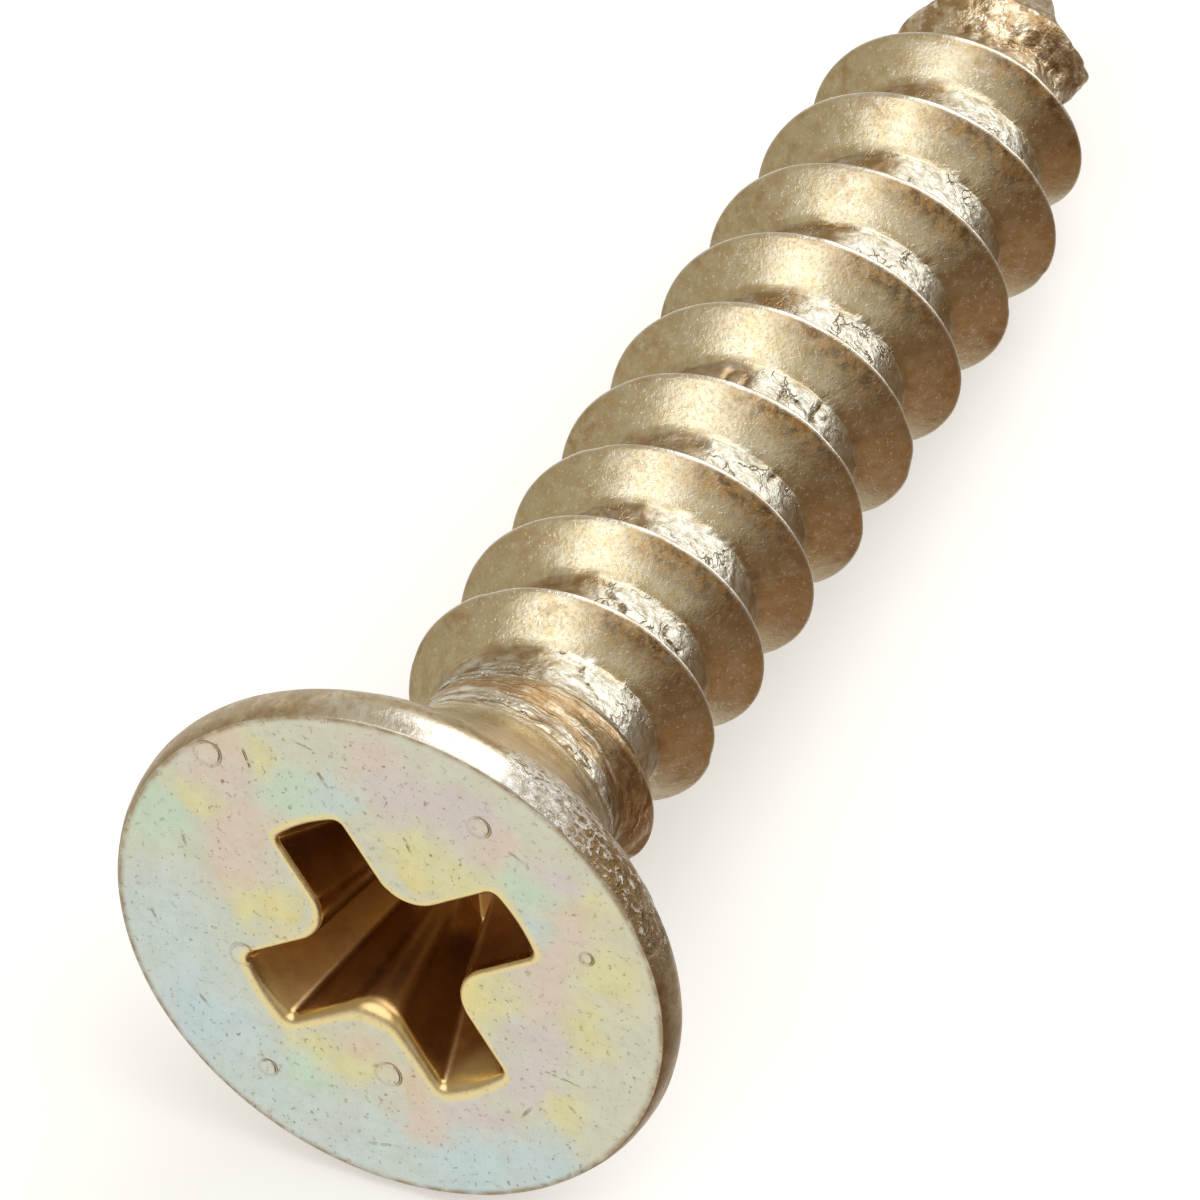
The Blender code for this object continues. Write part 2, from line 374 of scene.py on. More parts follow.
def build_screw():
    sf = Surface()
    zone = {}

    def tag(name, ids, value):
        zone.setdefault(name, []).append((ids, value))

    # ---- face, from the recess's rolled edge out to the rim
    lip0 = recess_ring(np.zeros(M), LIP)
    x0, z0 = lip0[:, 0], lip0[:, 2]
    rho0 = np.hypot(x0, z0)
    ang0 = np.unwrap(np.arctan2(-z0, x0))
    ang1 = 2.0 * np.pi * np.arange(M) / M
    ang1 = ang1 + round((ang0 - ang1).mean() / (2 * np.pi / M)) * 2 * np.pi / M
    r1 = 4.02
    idx = []
    for s in range(FACE_STEPS + 1):
        t = s / FACE_STEPS
        g = smooth(np.array([t * 1.1]))[0]
        rr = rho0 + (r1 - rho0) * t
        aa = ang0 + (ang1 - ang0) * g
        pts = np.stack([rr * np.cos(aa), np.zeros(M), -rr * np.sin(aa)], 1)
        pts[:, 1] = face_relief(pts)
        ids = sf.add(pts)
        idx.append(ids)
        tag("face", ids, 1.0)
        tag("lip", ids, np.maximum(0.0, 1.0 - (rr - rho0) / 0.10))
        tag("edge", ids, np.clip((rr - 3.93) / 0.08, 0.0, 1.0) ** 2)
        tag("dent", ids, np.clip((pts[:, 1] - 0.0085) / 0.010, 0.0, 1.0))
    for a, b in zip(idx, idx[1:]):
        sf.strip(a, b)
    outer_face, inner_face = idx[-1], idx[0]
    # ---- rim and cone: rings that keep the face's columns
    col = ang1
    prof = [(0.006, 4.040), (0.014, 4.053), (0.030, 4.066), (0.055, 4.079), (0.085, 4.091), (0.12, 4.103),
            (0.16, 4.113), (0.20, 4.121), (0.25, 4.128), (0.30, 4.1325), (0.34, 4.1345), (0.38, 4.135),
            (0.42, 4.132), (0.46, 4.124), (0.50, 4.113), (0.55, 4.092), (0.60, 4.064), (0.66, 4.024),
            (0.72, 3.980), (0.78, 3.934), (0.84, 3.884), (0.91, 3.824)]
    prev = outer_face
    for k, (y, r) in enumerate(prof):
        pts = np.stack([r * np.cos(col), np.full(M, y), -r * np.sin(col)], 1)
        rel, side = rim_relief(pts, col)
        fade = min(1.0, k / 2.5)
        wob = 0.010 * value_noise(pts * 1.0, 0.9, 47) * math.exp(-((y - 0.06) / 0.1) ** 2)
        rr = r - rel * fade
        pts = np.stack([rr * np.cos(col), y + wob * fade, -rr * np.sin(col)], 1)
        cur = sf.add(pts)
        tag("rim", cur, 1.0 if y < 0.6 else max(0.0, 1.0 - (y - 0.6) / 0.3))
        tag("edge", cur, max(0.0, 1.0 - y / 0.03))
        tag("face", cur, max(0.0, 1.0 - y / 0.03))
        tag("torn", cur, side)
        sf.strip(prev, cur)
        prev = cur
    # half the columns on the cone
    sub = col[::2]
    coarse = None
    for y in np.arange(1.00, 2.96, 0.10):
        r = body_radius(np.array([y]))[0]
        pts = np.stack([r * np.cos(sub), np.full(M // 2, y), -r * np.sin(sub)], 1)
        rel, side = rim_relief(pts, sub)
        fade = 0.25 + 0.75 * max(0.0, 1.0 - (y - 0.9) / 1.1)
        rr = r - rel * fade * 0.8
        pts = np.stack([rr * np.cos(sub), np.full(M // 2, y), -rr * np.sin(sub)], 1)
        cur = sf.add(pts)
        tag("torn", cur, side * max(0.0, 1.0 - (y - 0.9) / 1.1))
        if coarse is None:
            sf.strip_half(prev, cur)
        else:
            sf.strip(coarse, cur)
        coarse = cur
    # ---- thread grid
    index, faces, turn, y, t, low_k, high_k = thread_grid()
    pts, info = shank_points(turn, y, t)
    base = len(sf.co)
    sf.co.extend(map(tuple, pts))
    ids = np.arange(base, base + len(pts))
    for f in faces:
        sf.face(*[base + v for v in f])
    tag("shank", ids, 1.0)
    tag("root", ids, info["root"])
    tag("crack", ids, info["crack"])
    tag("height", ids, info["s"])
    tag("lump", ids, info["lump"])
    tag("along", ids, info["t"])
    tag("low", ids, info["low"])
    low = [base + index[(i, low_k)] for i in range(N)]
    high = [base + index[(i, high_k)] for i in range(N)]
    # the cone's first column may start elsewhere on the circle
    first = int(round((sub[0] % (2 * np.pi)) / (2 * np.pi / N))) % N
    low = low[first:] + low[:first]
    sf.strip(coarse, low)
    last = np.array([pts[index[(i, high_k)]] for i in range(N)])
    tip = sf.add([(last[:, 0].mean(), LENGTH, last[:, 2].mean())])[0]
    for i in range(N):
        sf.face(high[i], high[(i + 1) % N], tip)
    # ---- recess: rolled edge, walls, bottom
    prev = inner_face
    levels = []
    y_in = np.array([sf.co[v][1] for v in inner_face])
    for k in range(1, 8):
        a = math.radians(90.0 * k / 7.0)
        levels.append((LIP * (1 - math.cos(a)), LIP * (1 - math.sin(a))))
    for k in range(1, 15):
        levels.append((LIP + (REC_DEPTH - LIP) * k / 14.0, np.zeros(M)))
    for depth, out in levels:
        pts = recess_ring(depth, out)
        # slight hollows in the walls
        fade = smooth((depth - 0.15) / 0.4) * (1.0 - smooth((depth - 2.0) / 0.3))
        rad = np.hypot(pts[:, 0], pts[:, 2])
        push = fade * 0.0025 * value_noise(pts, 0.8, 51)
        pts[:, 0] += push * pts[:, 0] / rad
        pts[:, 2] += push * pts[:, 2] / rad
        pts[:, 1] += y_in * np.maximum(0.0, 1.0 - depth / 0.1)
        cur = sf.add(pts)
        tag("recess", cur, np.minimum(1.0, depth / 0.06))
        tag("lip", cur, np.maximum(0.0, 1.0 - depth / 0.12))
        tag("face", cur, np.maximum(0.0, 1.0 - depth / 0.03))
        sf.strip(cur, prev)
        prev = cur
    x, z = recess_level(REC_DEPTH)
    for k in (0.93, 0.66, 0.33):
        cur = sf.add(np.stack([x * k, np.full(M, REC_TIP - (REC_TIP - REC_DEPTH) * k), z * k], 1))
        tag("recess", cur, 1.0)
        sf.strip(cur, prev)
        prev = cur
    tip = sf.add([(0.0, REC_TIP, 0.0)])[0]
    tag("recess", [tip], 1.0)
    for i in range(M):
        sf.face(prev[(i + 1) % M], prev[i], tip)
    return sf, zone


def make_object(name, sf, zone):
    import bmesh
    mesh = bpy.data.meshes.new(name)
    co = np.array(sf.co, dtype=np.float64) * MM
    mesh.from_pydata([tuple(c) for c in co], [], sf.faces)
    mesh.update()
    for key, items in zone.items():
        vals = np.zeros(len(co), dtype=np.float32)
        for ids, value in items:
            vals[np.asarray(ids)] = value
        at = mesh.attributes.new(key, "FLOAT", "POINT")
        at.data.foreach_set("value", vals)
    bm = bmesh.new()
    bm.from_mesh(mesh)
    bmesh.ops.recalc_face_normals(bm, faces=bm.faces)
    print("faces", len(bm.faces), "open edges", sum(len(e.link_faces) != 2 for e in bm.edges),
          "triangles", sum(len(f.verts) - 2 for f in bm.faces), "volume mm3", bm.calc_volume() * 1e9)
    bm.to_mesh(mesh)
    bm.free()
    ob = bpy.data.objects.new(name, mesh)
    bpy.context.scene.collection.objects.link(ob)
    mesh.shade_smooth()
    mesh.set_sharp_from_angle(angle=math.radians(62.0))
    return ob


sf, zone = build_screw()
screw = make_object("wood_screw_body", sf, zone)
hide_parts("wood_screw")
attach(screw, "root")

# ---------------------------------------------------------------- material
mat = bpy.data.materials.new("zinc_yellow")
mat.use_nodes = True
tree = mat.node_tree
bsdf = tree.nodes["Principled BSDF"]


def put(sock, v):
    if isinstance(v, bpy.types.NodeSocket):
        tree.links.new(v, sock)
    elif isinstance(v, tuple) and len(v) == 3 and sock.type == "RGBA":
        sock.default_value = (*v, 1.0)
    else:
        sock.default_value = v


def attr(name):
    n = tree.nodes.new("ShaderNodeAttribute")
    n.attribute_name = name
    return n.outputs["Fac"]


def calc(op, a, b=0.0, c=None, clamp=False):
    n = tree.nodes.new("ShaderNodeMath")
    n.operation = op
    n.use_clamp = clamp
    put(n.inputs[0], a)
    put(n.inputs[1], b)
    if c is not None:
        put(n.inputs[2], c)
    return n.outputs[0]


def mul(*v):
    out = v[0]
    for w in v[1:]:
        out = calc("MULTIPLY", out, w)
    return out


def add(*v):
    out = v[0]
    for w in v[1:]:
        out = calc("ADD", out, w)
    return out


def span(v, a, b, lo=0.0, hi=1.0, kind="SMOOTHSTEP"):
    n = tree.nodes.new("ShaderNodeMapRange")
    n.interpolation_type = kind
    put(n.inputs["Value"], v)
    put(n.inputs["From Min"], a)
    put(n.inputs["From Max"], b)
    put(n.inputs["To Min"], lo)
    put(n.inputs["To Max"], hi)
    return n.outputs["Result"]


def vec(op, a, b=None, scale=None):
    n = tree.nodes.new("ShaderNodeVectorMath")
    n.operation = op
    put(n.inputs[0], a)
    if b is not None:
        put(n.inputs[1], b)
    if scale is not None:
        put(n.inputs["Scale"], scale)
    return n.outputs["Value"] if op in ("DISTANCE", "DOT_PRODUCT", "LENGTH") else n.outputs["Vector"]


def noise(size, detail=2.0, rough=0.5, at=None, out="Fac", warp=0.0):
    """Noise with features of about size mm, centred on 0.5."""
    n = tree.nodes.new("ShaderNodeTexNoise")
    put(n.inputs["Vector"], at if at is not None else P)
    n.inputs["Scale"].default_value = 1.0 / size
    n.inputs["Detail"].default_value = detail
    n.inputs["Roughness"].default_value = rough
    n.inputs["Distortion"].default_value = warp
    return n.outputs["Fac"] if out == "Fac" else n.outputs["Color"]


def mix(f, a, b):
    n = tree.nodes.new("ShaderNodeMix")
    n.data_type = "RGBA"
    put(n.inputs[0], f)
    put(n.inputs[6], a)
    put(n.inputs[7], b)
    return n.outputs[2]


def mixf(f, a, b):
    n = tree.nodes.new("ShaderNodeMix")
    n.data_type = "FLOAT"
    put(n.inputs[0], f)
    put(n.inputs[2], a)
    put(n.inputs[3], b)
    return n.outputs[0]


def shade(f, colour, k):
    """Multiplies a colour by k where f is 1."""
    n = tree.nodes.new("ShaderNodeMix")
    n.data_type = "RGBA"
    n.blend_type = "MULTIPLY"
    put(n.inputs[0], f)
    put(n.inputs[6], colour)
    put(n.inputs[7], k)
    return n.outputs[2]


tcn = tree.nodes.new("ShaderNodeTexCoord")
P = vec("SCALE", tcn.outputs["Object"], scale=1000.0)          # mm
flat = vec("MULTIPLY", P, (1.0, 0.0, 1.0))
Y = vec("DOT_PRODUCT", P, (0.0, 1.0, 0.0))
drift = vec("SUBTRACT", noise(0.9, 2.0, 0.55, out="Color"), (0.5, 0.5, 0.5))
drift2 = vec("SUBTRACT", noise(0.28, 2.0, 0.5, out="Color"), (0.5, 0.5, 0.5))
warped = vec("ADD", vec("ADD", flat, vec("SCALE", drift, scale=1.1)), vec("SCALE", drift2, scale=0.32))

# ---- head face: pale satin passivation with soft interference colours
PALE, BLUE, MINT = (0.715, 0.710, 0.555), (0.645, 0.74, 0.695), (0.62, 0.765, 0.60)
PINK, LILAC, YELLOW, AMBER = (0.77, 0.645, 0.53), (0.72, 0.65, 0.615), (0.775, 0.745, 0.42), (0.86, 0.63, 0.25)
PEACH, CYAN, GOLD = (0.78, 0.65, 0.47), (0.61, 0.74, 0.745), (0.83, 0.74, 0.36)
PATCHES = [
    (-3.5, -0.5, 1.7, BLUE), (-3.1, -1.8, 1.6, BLUE), (-2.1, -3.0, 1.7, BLUE), (-0.6, -3.7, 1.5, BLUE), (0.9, -3.5, 1.6, BLUE),
    (-3.4, 1.4, 0.9, MINT), (-1.3, 2.4, 0.85, MINT), (-0.9, 2.55, 0.6, BLUE), (2.0, 1.9, 0.6, MINT), (2.0, 1.1, 0.5, BLUE),
    (3.0, -1.0, 1.2, PALE), (3.3, 0.9, 0.85, YELLOW), (3.0, 2.0, 0.6, YELLOW), (2.9, -0.2, 0.6, YELLOW),
    (-2.35, 1.5, 0.85, PINK), (-2.5, 2.5, 0.7, PINK), (-2.2, 0.6, 0.7, PINK), (-2.9, 1.9, 0.5, YELLOW),
    (0.1, 3.0, 0.9, LILAC), (1.0, 2.9, 0.9, LILAC), (-0.3, 3.5, 0.6, PINK), (1.7, 2.5, 0.5, PINK),
    (0.4, 2.0, 0.75, YELLOW), (1.1, 1.65, 0.75, YELLOW), (-1.8, 0.05, 0.65, YELLOW), (-1.6, 0.5, 0.45, YELLOW),
    (1.5, 0.1, 0.65, YELLOW), (1.35, -0.6, 0.6, YELLOW), (-1.2, -2.0, 0.6, YELLOW), (-1.9, 2.95, 0.45, YELLOW),
    (2.55, 2.3, 0.55, LILAC), (2.75, 1.5, 0.55, PINK), (2.45, 0.8, 0.6, PINK), (2.3, 0.1, 0.65, PINK), (2.2, -0.7, 0.6, LILAC),
    (2.0, -1.5, 0.65, LILAC), (1.3, -2.3, 0.65, LILAC), (0.5, -2.75, 0.7, PINK), (-0.55, -2.15, 0.5, YELLOW), (-1.2, -2.6, 0.5, MINT),
    (-0.35, -1.80, 0.42, PEACH), (0.25, -2.15, 0.45, PEACH), (1.3, -3.55, 1.1, CYAN), (2.3, -2.95, 0.9, CYAN), (-2.9, -2.1, 1.0, CYAN),
    (-1.75, 0.15, 0.42, GOLD), (0.35, 1.55, 0.42, GOLD), (1.35, -0.25, 0.40, GOLD), (2.6, -1.9, 0.6, YELLOW), (-2.6, 3.1, 0.6, PEACH),
]
face_col = PALE
for px, pz, rad, colour in PATCHES:
    d = vec("DISTANCE", warped, (px, 0.0, pz))
    face_col = mix(span(d, rad * 1.06, rad * 0.22, 0.0, 0.92), face_col, colour)
grey = span(noise(1.3, 3.0, 0.6, at=vec("ADD", P, (31.0, 7.0, 3.0))), 0.50, 0.72)
face_col = mix(mul(grey, 0.32), face_col, (0.70, 0.68, 0.62))
# small rusty and grey specks, thicker in some patches than in others
speck = span(noise(0.10, 4.0, 0.70, at=vec("ADD", P, (5.0, 9.0, 2.0))), 0.585, 0.69)
where = span(noise(0.75, 2.0, 0.5, at=vec("ADD", P, (3.0, 1.0, 8.0))), 0.46, 0.66)
face_col = shade(mul(speck, add(0.30, mul(where, 0.70))), face_col, (0.60, 0.49, 0.37))
dots = span(noise(0.24, 3.0, 0.55, at=vec("ADD", P, (8.0, 3.0, 1.0))), 0.70, 0.78)
face_col = mix(mul(dots, 0.5), face_col, (0.50, 0.38, 0.22))
pale_speck = span(noise(0.08, 2.0, 0.6, at=vec("ADD", P, (15.0, 4.0, 6.0))), 0.62, 0.76)
face_col = mix(mul(pale_speck, 0.28), face_col, (0.88, 0.88, 0.85))
grain = span(noise(0.16, 4.0, 0.7, at=vec("ADD", P, (12.0, 2.0, 5.0))), 0.40, 0.64)
face_col = shade(mul(grain, 0.40), face_col, (0.90, 0.86, 0.80))
# small round press marks: a thin dark outline round a paler middle, the outline partly a real mark and partly painted
# shade, heavier on the upper right
loose = vec("ADD", flat, vec("SCALE", drift2, scale=0.055))
ring_mask, ring_in = 0.0, 0.0
for k, (mx_, mz_, mr_) in enumerate(MARKS):
    d = vec("DISTANCE", loose, (mx_, 0.0, mz_))
    off = vec("NORMALIZE", vec("SUBTRACT", loose, (mx_, 0.0, mz_)))
    a = 0.75 + 0.35 * (k % 3)
    painted_shade_side = add(0.26, mul(span(vec("DOT_PRODUCT", off, (math.sin(a), 0.0, math.cos(a))), -0.2, 0.8), 0.74))
    one = mul(span(calc("ABSOLUTE", calc("SUBTRACT", d, mr_)), 0.034, 0.004), painted_shade_side)
    ring_mask = calc("MAXIMUM", one, ring_mask)
    ring_in = calc("MAXIMUM", span(d, mr_, mr_ * 0.55), ring_in)
face_col = mix(mul(ring_in, 0.35), face_col, (0.78, 0.72, 0.58))
face_col = mix(mul(ring_mask, add(0.50, mul(noise(0.12), 0.5))), face_col, (0.36, 0.26, 0.14))
# tool scratches
cut_mask = 0.0
for x0, z0, x1, z1, deep in SCRATCHES:
    lx, lz = x1 - x0, z1 - z0
    ll = math.hypot(lx, lz)
    rel = vec("SUBTRACT", loose, (x0, 0.0, z0))
    u = vec("DOT_PRODUCT", rel, (lx / ll, 0.0, lz / ll))
    v = calc("ABSOLUTE", vec("DOT_PRODUCT", rel, (-lz / ll, 0.0, lx / ll)))
    one = mul(span(v, 0.026, 0.004), span(u, 0.0, 0.12), span(u, ll, ll - 0.2), deep * 100.0)
    cut_mask = calc("MAXIMUM", one, cut_mask)
cut_mask = mul(cut_mask, add(0.25, mul(span(noise(0.11), 0.36, 0.58), 0.75)))
face_col = mix(mul(cut_mask, 0.75), face_col, (0.42, 0.31, 0.16))
# marks, scratches and dents gather a little brown
dent = attr("dent")
face_col = mix(mul(span(dent, 0.35, 1.0), 0.30), face_col, (0.56, 0.44, 0.27))
# rolled edge of the recess, and the outer edge
lip = attr("lip")
face_col = mix(mul(span(lip, 0.05, 0.9), 0.8), face_col, (0.86, 0.70, 0.30))
edge = attr("edge")
edge_n = span(noise(0.3, 3.0, 0.6), 0.34, 0.62)
face_col = mix(mul(edge, add(0.35, mul(edge_n, 0.6))), face_col, (0.36, 0.24, 0.13))

# ---- thread flanks: satin golden tan
fine = noise(0.055, 3.0, 0.6)
mid = noise(0.22, 3.0, 0.55)
broad = noise(1.1, 2.0, 0.5)
flank_col = mix(span(mid, 0.36, 0.64), (0.77, 0.655, 0.43), (0.86, 0.80, 0.61))
flank_col = mix(mul(span(broad, 0.40, 0.70), 0.5), flank_col, (0.80, 0.73, 0.55))
flank_col = shade(mul(span(fine, 0.48, 0.68), 0.75), flank_col, (0.82, 0.73, 0.58))
glint = span(noise(0.07, 2.0, 0.6, at=vec("ADD", P, (2.0, 6.0, 4.0))), 0.58, 0.68)
flank_col = mix(mul(glint, 0.55), flank_col, (0.96, 0.95, 0.88))
height = attr("height")
side = vec("DOT_PRODUCT", vec("NORMALIZE", flat), (0.616, 0.0, 0.788))     # 1 on the upper right of the shank
brown_n = span(noise(0.20, 4.0, 0.68), 0.36, 0.62)
near_crest = span(height, 0.10, 0.92)
low = attr("low")
upper = span(side, 0.78, 0.995)                   # partly a brown stain towards the crest, partly painted shade on this upper-right run of the thread, turned from the light
stain_and_shade = mul(near_crest, add(0.14, mul(upper, 0.86)), add(0.66, mul(brown_n, 0.34)))
stain_and_shade = calc("MAXIMUM", stain_and_shade, mul(low, add(0.25, mul(brown_n, 0.6))))
blotch = mul(brown_n, span(noise(0.7, 2.0, 0.5), 0.50, 0.66), add(0.15, mul(near_crest, 0.45)))
stain_and_shade = calc("MAXIMUM", stain_and_shade, blotch)
# the darkest brown is laid mostly on that upper-right run, partly as painted shade
deep = span(noise(0.17, 4.0, 0.72, at=vec("ADD", P, (6.0, 2.0, 7.0))), 0.44, 0.58)
flank_col = mix(mul(stain_and_shade, 0.92), flank_col, mix(mul(deep, add(0.25, mul(upper, 0.75))), (0.43, 0.235, 0.075), (0.15, 0.075, 0.022)))
foot_brown = mul(span(height, 0.22, 0.02), span(noise(0.3, 3.0, 0.6), 0.40, 0.62))
flank_col = mix(mul(foot_brown, 0.35), flank_col, (0.54, 0.40, 0.23))
crest = span(height, 0.95, 0.995)
flank_col = mix(mul(crest, add(0.55, mul(span(noise(0.3, 2.0, 0.5), 0.35, 0.6), 0.45))), flank_col, (0.93, 0.90, 0.82))

# ---- root: rough grey metal with dark cracks
root = attr("root")
crackv = attr("crack")
root_n = noise(0.12, 4.0, 0.7)
root_col = mix(span(root_n, 0.34, 0.60), (0.52, 0.48, 0.38), (0.78, 0.78, 0.72))
lines = tree.nodes.new("ShaderNodeTexVoronoi")
lines.feature = "DISTANCE_TO_EDGE"
lines.inputs["Scale"].default_value = 1.0 / 0.34
lines.inputs["Randomness"].default_value = 1.0
put(lines.inputs["Vector"], vec("ADD", P, vec("SCALE", drift2, scale=0.9)))
line = mul(span(lines.outputs["Distance"], 0.06, 0.0), span(noise(0.45, 2.0, 0.5, at=vec("ADD", P, (9.0, 2.0, 5.0))), 0.50, 0.62))
dark = calc("MAXIMUM", mul(line, 0.70), mul(span(crackv, 0.45, 0.9), 0.9))
root_col = mix(dark, root_col, (0.22, 0.14, 0.06))
shaded = mul(span(side, 0.95, 0.78), span(Y, 4.3, 5.0))                  # painted shade: the root is smoother and painted a shaded brown where it turns away from the light
root_col = mix(mul(shaded, add(0.55, mul(span(noise(0.3, 3.0, 0.6), 0.4, 0.6), 0.45))), root_col, (0.47, 0.33, 0.18))
shank_col = mix(root, flank_col, root_col)

# lines round the neck: darker brown along the low bands of the relief stripes, near-white along the high bands
stripe = noise(0.11, 3.0, 0.6, at=vec("MULTIPLY", vec("ADD", P, vec("SCALE", drift2, scale=0.12)), (0.10, 1.0, 0.10)))
neck = mul(span(Y, 3.25, 3.6), span(Y, 4.75, 4.3))
shank_col = mix(mul(neck, span(stripe, 0.50, 0.41), 0.75), shank_col, (0.33, 0.20, 0.09))
shank_col = mix(mul(neck, span(stripe, 0.53, 0.62), 0.75), shank_col, (0.95, 0.92, 0.84))

# ---- torn point
lump = attr("lump")
lump_n = noise(0.26, 3.0, 0.6)
lump_col = mix(span(noise(0.3, 3.0, 0.6, at=vec("ADD", P, (4.0, 4.0, 9.0))), 0.42, 0.60), (0.50, 0.35, 0.19), (0.78, 0.67, 0.49))
# painted highlights: near-white glints on the lumps of the point
painted_glint = span(noise(0.15, 3.0, 0.55, at=vec("ADD", P, (7.0, 5.0, 3.0))), 0.56, 0.64)
lump_col = mix(mul(painted_glint, 0.85), lump_col, (0.95, 0.92, 0.84))
lump_col = mix(mul(span(noise(0.2, 3.0, 0.6, at=vec("ADD", P, (1.0, 8.0, 6.0))), 0.56, 0.66), 0.8), lump_col, (0.30, 0.17, 0.07))
shank_col = mix(mul(span(lump, 0.05, 0.5), 0.92), shank_col, lump_col)

# ---- neck, cone and rim
torn = attr("torn")
cone_col = mix(span(noise(0.35, 4.0, 0.6), 0.36, 0.66), (0.66, 0.54, 0.36), (0.80, 0.72, 0.55))
cone_col = mix(mul(span(noise(0.13, 4.0, 0.7), 0.50, 0.62), 0.55), cone_col, (0.50, 0.37, 0.21))
cone_col = shade(span(fine, 0.50, 0.74), cone_col, (0.84, 0.77, 0.66))
torn_n = noise(0.13, 5.0, 0.72, at=vec("MULTIPLY", P, (1.0, 1.4, 1.0)), warp=0.4)
# painted shade: the torn patch is made darker on its lower right, the side turned from the light
painted_shade_low_right = span(vec("DOT_PRODUCT", vec("NORMALIZE", flat), (0.906, 0.0, 0.423)), 0.88, 0.985)
torn_v = calc("SUBTRACT", add(torn_n, 0.035), mul(painted_shade_low_right, 0.115))
torn_col = mix(span(torn_v, 0.45, 0.53), (0.30, 0.19, 0.085), (0.95, 0.94, 0.90))
cone_col = mix(span(torn, 0.15, 0.7), cone_col, torn_col)
rim = attr("rim")
# painted highlight: a near-white run along the top of the rim band, kept clear of the brown
painted_highlight_run = span(vec("DOT_PRODUCT", vec("NORMALIZE", flat), (0.174, 0.0, 0.985)), 0.86, 0.95)
rim_brown = mul(rim, span(noise(0.5, 4.0, 0.65), 0.38, 0.60), calc("SUBTRACT", 0.62, mul(painted_highlight_run, 0.62)))
cone_col = mix(rim_brown, cone_col, (0.46, 0.35, 0.23))
cone_col = mix(mul(rim, painted_highlight_run, span(Y, 0.44, 0.30), 0.8), cone_col, mix(span(noise(0.16, 4.0, 0.6), 0.4, 0.55), (0.80, 0.76, 0.66), (0.97, 0.96, 0.93)))
# ---- recess: darker amber, drawn by the punch
rec = attr("recess")
drawn = noise(0.5, 3.0, 0.6)
rec_col = mix(span(drawn, 0.40, 0.62), (0.46, 0.295, 0.145), (0.56, 0.375, 0.185))
rec_col = mix(mul(span(noise(0.9, 2.0, 0.5, at=vec("ADD", P, (2.0, 2.0, 2.0))), 0.45, 0.62), 0.6), rec_col, (0.62, 0.37, 0.13))
rec_col = shade(mul(span(fine, 0.54, 0.74), 0.4), rec_col, (0.78, 0.70, 0.56))
# painted reflection: the lower wing's end and the rolled lip next to it are painted pale, standing in for the face
# mirrored in them
d_end = vec("DISTANCE", P, (1.30, 0.18, -1.93))
painted_reflection_end = mul(span(d_end, 0.62, 0.30), span(Y, 0.75, 0.30))
rec_col = mix(mul(painted_reflection_end, 0.8), rec_col, (0.84, 0.80, 0.52))
# painted highlight: the top of the recess walls is painted a lighter gold, fading out about 0.26 mm down
painted_highlight_mouth = span(Y, 0.26, 0.06)
rec_col = mix(mul(painted_highlight_mouth, 0.55), rec_col, (0.86, 0.66, 0.30))
face = attr("face")
shank = attr("shank")
colour = mix(shank, cone_col, shank_col)
colour = mix(rec, colour, rec_col)
colour = mix(face, colour, face_col)
put(bsdf.inputs["Base Color"], colour)
bsdf.inputs["Metallic"].default_value = 1.0

# ---- roughness
rough_flank = add(0.25, mul(span(mid, 0.3, 0.7), 0.06), mul(span(fine, 0.45, 0.7), 0.08), mul(stain_and_shade, 0.12), mul(crest, -0.05))
rough_shank = mixf(root, rough_flank, add(0.22, mul(root_n, 0.20)))
rough_cone = add(0.29, mul(span(noise(0.35, 3.0, 0.6), 0.3, 0.7), 0.10), mul(torn, -0.06), mul(painted_highlight_run, rim, span(Y, 0.44, 0.30), -0.09))
rough_rec = add(0.26, mul(drawn, 0.10), mul(fine, 0.05), mul(painted_highlight_mouth, -0.16))
rough_face = add(0.34, mul(span(noise(0.5, 3.0, 0.6), 0.3, 0.7), 0.08), mul(speck, 0.12), mul(lip, -0.14))
roughness = mixf(shank, rough_cone, rough_shank)
roughness = mixf(rec, roughness, rough_rec)
roughness = mixf(face, roughness, rough_face)
put(bsdf.inputs["Roughness"], roughness)

# ---- fine relief, in mm
h_flank = add(mul(fine, 0.0042), mul(mid, 0.0040), mul(glint, 0.0022), mul(stain_and_shade, -0.001))
h_root = mul(add(mul(noise(0.16, 2.0, 0.5), 0.030), mul(root_n, 0.010), mul(dark, -0.026)), calc("SUBTRACT", 1.0, mul(shaded, 0.7)))
h_cone = add(mul(fine, 0.004), mul(noise(0.14, 4.0, 0.65), 0.006), mul(torn, mul(torn_n, 0.075)))
h_rec = add(mul(drawn, 0.004), mul(fine, 0.0010))
scratch_a = noise(0.05, 2.0, 0.5, at=vec("MULTIPLY", vec("ADD", P, vec("SCALE", drift, scale=0.5)), (1.0, 1.0, 0.09)))
scratch_b = noise(0.05, 2.0, 0.5, at=vec("MULTIPLY", P, (0.08, 1.0, 1.0)))
hair = add(span(scratch_a, 0.70, 0.80), span(scratch_b, 0.71, 0.80))
h_face = add(mul(fine, 0.0026), mul(noise(0.12, 3.0, 0.6), 0.0042), mul(speck, -0.003), mul(hair, -0.002), mul(pale_speck, 0.001), mul(ring_mask, -0.014), mul(ring_in, 0.002), mul(cut_mask, -0.014))
h_shank = mixf(root, h_flank, h_root)
h_shank = add(h_shank, mul(neck, mul(stripe, 0.045)))
h_shank = add(h_shank, mul(lump, mul(lump_n, 0.06)))
relief = mixf(shank, h_cone, h_shank)
relief = mixf(rec, relief, h_rec)
relief = mixf(face, relief, h_face)
bump = tree.nodes.new("ShaderNodeBump")
bump.inputs["Strength"].default_value = 1.0
bump.inputs["Distance"].default_value = MM
put(bump.inputs["Height"], relief)
put(bsdf.inputs["Normal"], bump.outputs["Normal"])
screw.data.materials.append(mat)

